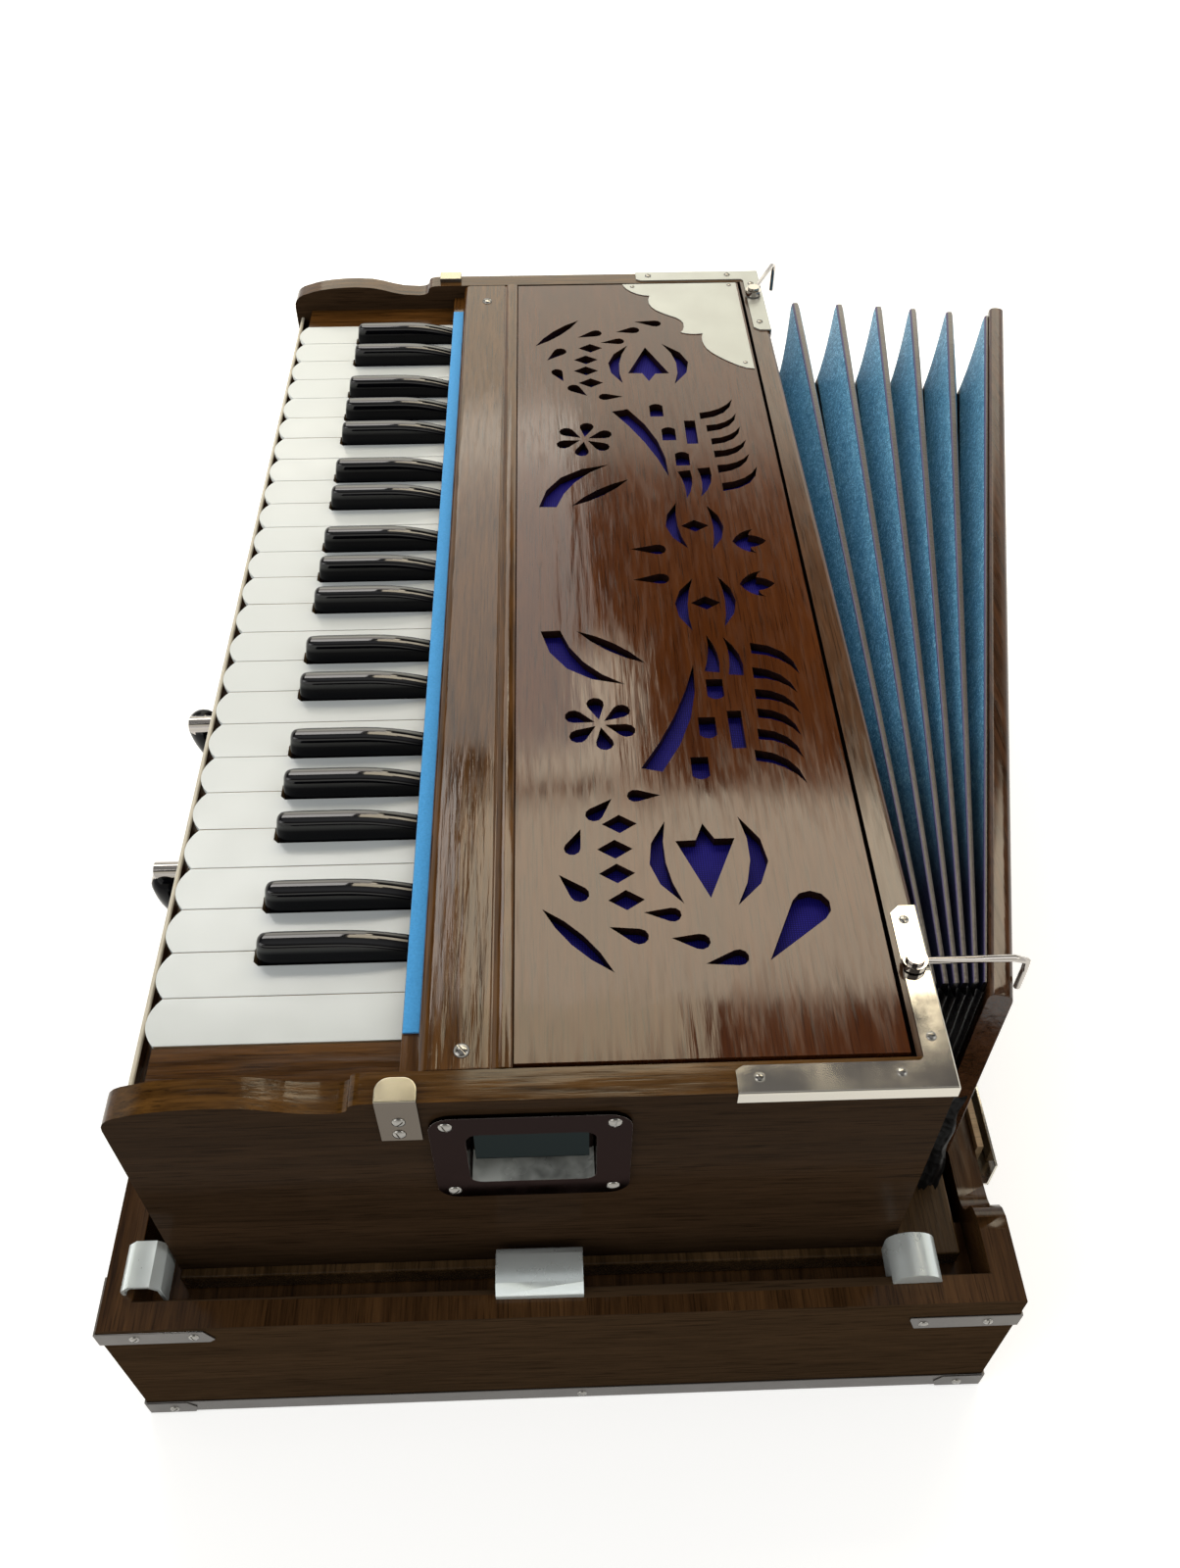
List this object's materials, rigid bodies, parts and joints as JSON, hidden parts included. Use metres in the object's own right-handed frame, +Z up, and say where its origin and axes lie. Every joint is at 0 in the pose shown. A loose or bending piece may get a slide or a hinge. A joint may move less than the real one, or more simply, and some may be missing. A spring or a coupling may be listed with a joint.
{
  "type": "indian harmonium",
  "caption": "Hand-pumped reed organ with a hinged book bellows, sprung keys and a fretted top, standing in its travel tray.",
  "frame": {"origin": "middle of the tray's underside, which stands on the floor", "axes": "+X along the keyboard towards the treble end, +Y from the player to the bellows, +Z up"},
  "size_m": [0.685, 0.5037, 0.2325],
  "materials": {
    "walnut": "glossy",
    "rosewood": "glossy",
    "plain_wood": "matte",
    "white_plate": "glossy",
    "black_plate": "glossy",
    "chrome": "polished",
    "cloth": "matte",
    "bellows_cloth": "satin"
  },
  "bodies": {
    "case": {"base_tray": "walnut", "base_board": "rosewood", "case_shell": "walnut", "reed_board": "plain_wood", "top_strip": "rosewood", "fret_panel": "rosewood", "fret_cloth": "cloth", "bellows_folds": "bellows_cloth", "near_handle_plate": "chrome", "far_handle_plate": "chrome"},
    "white_key_01": {"white_key_01": "white_plate"},
    "white_key_02": {"white_key_02": "white_plate"},
    "white_key_03": {"white_key_03": "white_plate"},
    "white_key_04": {"white_key_04": "white_plate"},
    "white_key_05": {"white_key_05": "white_plate"},
    "white_key_06": {"white_key_06": "white_plate"},
    "white_key_07": {"white_key_07": "white_plate"},
    "white_key_08": {"white_key_08": "white_plate"},
    "white_key_09": {"white_key_09": "white_plate"},
    "white_key_10": {"white_key_10": "white_plate"},
    "white_key_11": {"white_key_11": "white_plate"},
    "white_key_12": {"white_key_12": "white_plate"},
    "white_key_13": {"white_key_13": "white_plate"},
    "white_key_14": {"white_key_14": "white_plate"},
    "white_key_15": {"white_key_15": "white_plate"},
    "white_key_16": {"white_key_16": "white_plate"},
    "white_key_17": {"white_key_17": "white_plate"},
    "white_key_18": {"white_key_18": "white_plate"},
    "white_key_19": {"white_key_19": "white_plate"},
    "white_key_20": {"white_key_20": "white_plate"},
    "white_key_21": {"white_key_21": "white_plate"},
    "white_key_22": {"white_key_22": "white_plate"},
    "white_key_23": {"white_key_23": "white_plate"},
    "white_key_24": {"white_key_24": "white_plate"},
    "white_key_25": {"white_key_25": "white_plate"},
    "black_key_01": {"black_key_01": "black_plate"},
    "black_key_02": {"black_key_02": "black_plate"},
    "black_key_03": {"black_key_03": "black_plate"},
    "black_key_04": {"black_key_04": "black_plate"},
    "black_key_05": {"black_key_05": "black_plate"},
    "black_key_06": {"black_key_06": "black_plate"},
    "black_key_07": {"black_key_07": "black_plate"},
    "black_key_08": {"black_key_08": "black_plate"},
    "black_key_09": {"black_key_09": "black_plate"},
    "black_key_10": {"black_key_10": "black_plate"},
    "black_key_11": {"black_key_11": "black_plate"},
    "black_key_12": {"black_key_12": "black_plate"},
    "black_key_13": {"black_key_13": "black_plate"},
    "black_key_14": {"black_key_14": "black_plate"},
    "black_key_15": {"black_key_15": "black_plate"},
    "black_key_16": {"black_key_16": "black_plate"},
    "black_key_17": {"black_key_17": "black_plate"},
    "bellows_board": {"bellows_board": "walnut"},
    "near_hook": {"near_hook": "chrome"},
    "far_hook": {"far_hook": "chrome"},
    "stop_knob_1": {"stop_knob_1": "black_plate"},
    "stop_knob_2": {"stop_knob_2": "black_plate"},
    "near_handle_grip": {"near_handle_grip": "chrome"},
    "far_handle_grip": {"far_handle_grip": "chrome"}
  },
  "joints": [
    {"name": "bellows_swing", "type": "hinge", "parent": "case", "child": "bellows_board", "pos_m": [0.262, 0.1704, 0.15], "axis": [0, 0, 1], "range_deg": [-5, 13.5], "stiffness_Nm_per_rad": 2, "deforming": ["bellows_folds"]},
    {"name": "near_hook_swing", "type": "hinge", "parent": "case", "child": "near_hook", "pos_m": [0.2576, 0.1396, 0.2291], "axis": [0, 0, -1], "range_deg": [0, 70]},
    {"name": "far_hook_swing", "type": "hinge", "parent": "case", "child": "far_hook", "pos_m": [-0.278, 0.1396, 0.2291], "axis": [0, 0, -1], "range_deg": [-30, 65]},
    {"name": "stop_knob_1_pull", "type": "slide", "parent": "case", "child": "stop_knob_1", "axis": [0, -1, 0], "range_m": [0, 0.018]},
    {"name": "stop_knob_2_pull", "type": "slide", "parent": "case", "child": "stop_knob_2", "axis": [0, -1, 0], "range_m": [0, 0.018]},
    {"name": "near_handle_grip_swing", "type": "hinge", "parent": "case", "child": "near_handle_grip", "pos_m": [0.3068, -0.011, 0.1975], "axis": [0, -1, 0], "range_deg": [0, 90]},
    {"name": "far_handle_grip_swing", "type": "hinge", "parent": "case", "child": "far_handle_grip", "pos_m": [-0.3068, -0.011, 0.1975], "axis": [0, 1, 0], "range_deg": [0, 90]},
    {"name": "black_key_01_press", "type": "hinge", "parent": "case", "child": "black_key_01", "pos_m": [0, -0.0389, 0.196], "axis": [1, 0, 0], "range_deg": [0, 3.7], "stiffness_Nm_per_rad": 0.6, "springref_deg": -6.88},
    {"name": "black_key_02_press", "type": "hinge", "parent": "case", "child": "black_key_02", "pos_m": [0, -0.0389, 0.196], "axis": [1, 0, 0], "range_deg": [0, 3.7], "stiffness_Nm_per_rad": 0.6, "springref_deg": -6.88},
    {"name": "black_key_03_press", "type": "hinge", "parent": "case", "child": "black_key_03", "pos_m": [0, -0.0389, 0.196], "axis": [1, 0, 0], "range_deg": [0, 3.7], "stiffness_Nm_per_rad": 0.6, "springref_deg": -6.88},
    {"name": "black_key_04_press", "type": "hinge", "parent": "case", "child": "black_key_04", "pos_m": [0, -0.0389, 0.196], "axis": [1, 0, 0], "range_deg": [0, 3.7], "stiffness_Nm_per_rad": 0.6, "springref_deg": -6.88},
    {"name": "black_key_05_press", "type": "hinge", "parent": "case", "child": "black_key_05", "pos_m": [0, -0.0389, 0.196], "axis": [1, 0, 0], "range_deg": [0, 3.7], "stiffness_Nm_per_rad": 0.6, "springref_deg": -6.88},
    {"name": "black_key_06_press", "type": "hinge", "parent": "case", "child": "black_key_06", "pos_m": [0, -0.0389, 0.196], "axis": [1, 0, 0], "range_deg": [0, 3.7], "stiffness_Nm_per_rad": 0.6, "springref_deg": -6.88},
    {"name": "black_key_07_press", "type": "hinge", "parent": "case", "child": "black_key_07", "pos_m": [0, -0.0389, 0.196], "axis": [1, 0, 0], "range_deg": [0, 3.7], "stiffness_Nm_per_rad": 0.6, "springref_deg": -6.88},
    {"name": "black_key_08_press", "type": "hinge", "parent": "case", "child": "black_key_08", "pos_m": [0, -0.0389, 0.196], "axis": [1, 0, 0], "range_deg": [0, 3.7], "stiffness_Nm_per_rad": 0.6, "springref_deg": -6.88},
    {"name": "black_key_09_press", "type": "hinge", "parent": "case", "child": "black_key_09", "pos_m": [0, -0.0389, 0.196], "axis": [1, 0, 0], "range_deg": [0, 3.7], "stiffness_Nm_per_rad": 0.6, "springref_deg": -6.88},
    {"name": "black_key_10_press", "type": "hinge", "parent": "case", "child": "black_key_10", "pos_m": [0, -0.0389, 0.196], "axis": [1, 0, 0], "range_deg": [0, 3.7], "stiffness_Nm_per_rad": 0.6, "springref_deg": -6.88},
    {"name": "black_key_11_press", "type": "hinge", "parent": "case", "child": "black_key_11", "pos_m": [0, -0.0389, 0.196], "axis": [1, 0, 0], "range_deg": [0, 3.7], "stiffness_Nm_per_rad": 0.6, "springref_deg": -6.88},
    {"name": "black_key_12_press", "type": "hinge", "parent": "case", "child": "black_key_12", "pos_m": [0, -0.0389, 0.196], "axis": [1, 0, 0], "range_deg": [0, 3.7], "stiffness_Nm_per_rad": 0.6, "springref_deg": -6.88},
    {"name": "white_key_01_press", "type": "hinge", "parent": "case", "child": "white_key_01", "pos_m": [0, -0.0389, 0.196], "axis": [1, 0, 0], "range_deg": [0, 3.7], "stiffness_Nm_per_rad": 0.6, "springref_deg": -6.88},
    {"name": "white_key_02_press", "type": "hinge", "parent": "case", "child": "white_key_02", "pos_m": [0, -0.0389, 0.196], "axis": [1, 0, 0], "range_deg": [0, 3.7], "stiffness_Nm_per_rad": 0.6, "springref_deg": -6.88},
    {"name": "white_key_03_press", "type": "hinge", "parent": "case", "child": "white_key_03", "pos_m": [0, -0.0389, 0.196], "axis": [1, 0, 0], "range_deg": [0, 3.7], "stiffness_Nm_per_rad": 0.6, "springref_deg": -6.88},
    {"name": "white_key_04_press", "type": "hinge", "parent": "case", "child": "white_key_04", "pos_m": [0, -0.0389, 0.196], "axis": [1, 0, 0], "range_deg": [0, 3.7], "stiffness_Nm_per_rad": 0.6, "springref_deg": -6.88},
    {"name": "white_key_05_press", "type": "hinge", "parent": "case", "child": "white_key_05", "pos_m": [0, -0.0389, 0.196], "axis": [1, 0, 0], "range_deg": [0, 3.7], "stiffness_Nm_per_rad": 0.6, "springref_deg": -6.88},
    {"name": "white_key_06_press", "type": "hinge", "parent": "case", "child": "white_key_06", "pos_m": [0, -0.0389, 0.196], "axis": [1, 0, 0], "range_deg": [0, 3.7], "stiffness_Nm_per_rad": 0.6, "springref_deg": -6.88},
    {"name": "white_key_07_press", "type": "hinge", "parent": "case", "child": "white_key_07", "pos_m": [0, -0.0389, 0.196], "axis": [1, 0, 0], "range_deg": [0, 3.7], "stiffness_Nm_per_rad": 0.6, "springref_deg": -6.88},
    {"name": "white_key_08_press", "type": "hinge", "parent": "case", "child": "white_key_08", "pos_m": [0, -0.0389, 0.196], "axis": [1, 0, 0], "range_deg": [0, 3.7], "stiffness_Nm_per_rad": 0.6, "springref_deg": -6.88},
    {"name": "white_key_09_press", "type": "hinge", "parent": "case", "child": "white_key_09", "pos_m": [0, -0.0389, 0.196], "axis": [1, 0, 0], "range_deg": [0, 3.7], "stiffness_Nm_per_rad": 0.6, "springref_deg": -6.88},
    {"name": "white_key_10_press", "type": "hinge", "parent": "case", "child": "white_key_10", "pos_m": [0, -0.0389, 0.196], "axis": [1, 0, 0], "range_deg": [0, 3.7], "stiffness_Nm_per_rad": 0.6, "springref_deg": -6.88},
    {"name": "white_key_11_press", "type": "hinge", "parent": "case", "child": "white_key_11", "pos_m": [0, -0.0389, 0.196], "axis": [1, 0, 0], "range_deg": [0, 3.7], "stiffness_Nm_per_rad": 0.6, "springref_deg": -6.88},
    {"name": "white_key_12_press", "type": "hinge", "parent": "case", "child": "white_key_12", "pos_m": [0, -0.0389, 0.196], "axis": [1, 0, 0], "range_deg": [0, 3.7], "stiffness_Nm_per_rad": 0.6, "springref_deg": -6.88},
    {"name": "white_key_13_press", "type": "hinge", "parent": "case", "child": "white_key_13", "pos_m": [0, -0.0389, 0.196], "axis": [1, 0, 0], "range_deg": [0, 3.7], "stiffness_Nm_per_rad": 0.6, "springref_deg": -6.88},
    {"name": "white_key_14_press", "type": "hinge", "parent": "case", "child": "white_key_14", "pos_m": [0, -0.0389, 0.196], "axis": [1, 0, 0], "range_deg": [0, 3.7], "stiffness_Nm_per_rad": 0.6, "springref_deg": -6.88},
    {"name": "white_key_15_press", "type": "hinge", "parent": "case", "child": "white_key_15", "pos_m": [0, -0.0389, 0.196], "axis": [1, 0, 0], "range_deg": [0, 3.7], "stiffness_Nm_per_rad": 0.6, "springref_deg": -6.88},
    {"name": "white_key_16_press", "type": "hinge", "parent": "case", "child": "white_key_16", "pos_m": [0, -0.0389, 0.196], "axis": [1, 0, 0], "range_deg": [0, 3.7], "stiffness_Nm_per_rad": 0.6, "springref_deg": -6.88},
    {"name": "white_key_17_press", "type": "hinge", "parent": "case", "child": "white_key_17", "pos_m": [0, -0.0389, 0.196], "axis": [1, 0, 0], "range_deg": [0, 3.7], "stiffness_Nm_per_rad": 0.6, "springref_deg": -6.88},
    {"name": "white_key_18_press", "type": "hinge", "parent": "case", "child": "white_key_18", "pos_m": [0, -0.0389, 0.196], "axis": [1, 0, 0], "range_deg": [0, 3.7], "stiffness_Nm_per_rad": 0.6, "springref_deg": -6.88},
    {"name": "white_key_19_press", "type": "hinge", "parent": "case", "child": "white_key_19", "pos_m": [0, -0.0389, 0.196], "axis": [1, 0, 0], "range_deg": [0, 3.7], "stiffness_Nm_per_rad": 0.6, "springref_deg": -6.88},
    {"name": "white_key_20_press", "type": "hinge", "parent": "case", "child": "white_key_20", "pos_m": [0, -0.0389, 0.196], "axis": [1, 0, 0], "range_deg": [0, 3.7], "stiffness_Nm_per_rad": 0.6, "springref_deg": -6.88},
    {"name": "white_key_21_press", "type": "hinge", "parent": "case", "child": "white_key_21", "pos_m": [0, -0.0389, 0.196], "axis": [1, 0, 0], "range_deg": [0, 3.7], "stiffness_Nm_per_rad": 0.6, "springref_deg": -6.88},
    {"name": "white_key_22_press", "type": "hinge", "parent": "case", "child": "white_key_22", "pos_m": [0, -0.0389, 0.196], "axis": [1, 0, 0], "range_deg": [0, 3.7], "stiffness_Nm_per_rad": 0.6, "springref_deg": -6.88},
    {"name": "white_key_23_press", "type": "hinge", "parent": "case", "child": "white_key_23", "pos_m": [0, -0.0389, 0.196], "axis": [1, 0, 0], "range_deg": [0, 3.7], "stiffness_Nm_per_rad": 0.6, "springref_deg": -6.88},
    {"name": "white_key_24_press", "type": "hinge", "parent": "case", "child": "white_key_24", "pos_m": [0, -0.0389, 0.196], "axis": [1, 0, 0], "range_deg": [0, 3.7], "stiffness_Nm_per_rad": 0.6, "springref_deg": -6.88},
    {"name": "white_key_25_press", "type": "hinge", "parent": "case", "child": "white_key_25", "pos_m": [0, -0.0389, 0.196], "axis": [1, 0, 0], "range_deg": [0, 3.7], "stiffness_Nm_per_rad": 0.6, "springref_deg": -6.88},
    {"name": "black_key_13_press", "type": "hinge", "parent": "case", "child": "black_key_13", "pos_m": [0, -0.0389, 0.196], "axis": [1, 0, 0], "range_deg": [0, 3.7], "stiffness_Nm_per_rad": 0.6, "springref_deg": -6.88},
    {"name": "black_key_14_press", "type": "hinge", "parent": "case", "child": "black_key_14", "pos_m": [0, -0.0389, 0.196], "axis": [1, 0, 0], "range_deg": [0, 3.7], "stiffness_Nm_per_rad": 0.6, "springref_deg": -6.88},
    {"name": "black_key_15_press", "type": "hinge", "parent": "case", "child": "black_key_15", "pos_m": [0, -0.0389, 0.196], "axis": [1, 0, 0], "range_deg": [0, 3.7], "stiffness_Nm_per_rad": 0.6, "springref_deg": -6.88},
    {"name": "black_key_16_press", "type": "hinge", "parent": "case", "child": "black_key_16", "pos_m": [0, -0.0389, 0.196], "axis": [1, 0, 0], "range_deg": [0, 3.7], "stiffness_Nm_per_rad": 0.6, "springref_deg": -6.88},
    {"name": "black_key_17_press", "type": "hinge", "parent": "case", "child": "black_key_17", "pos_m": [0, -0.0389, 0.196], "axis": [1, 0, 0], "range_deg": [0, 3.7], "stiffness_Nm_per_rad": 0.6, "springref_deg": -6.88}
  ]
}
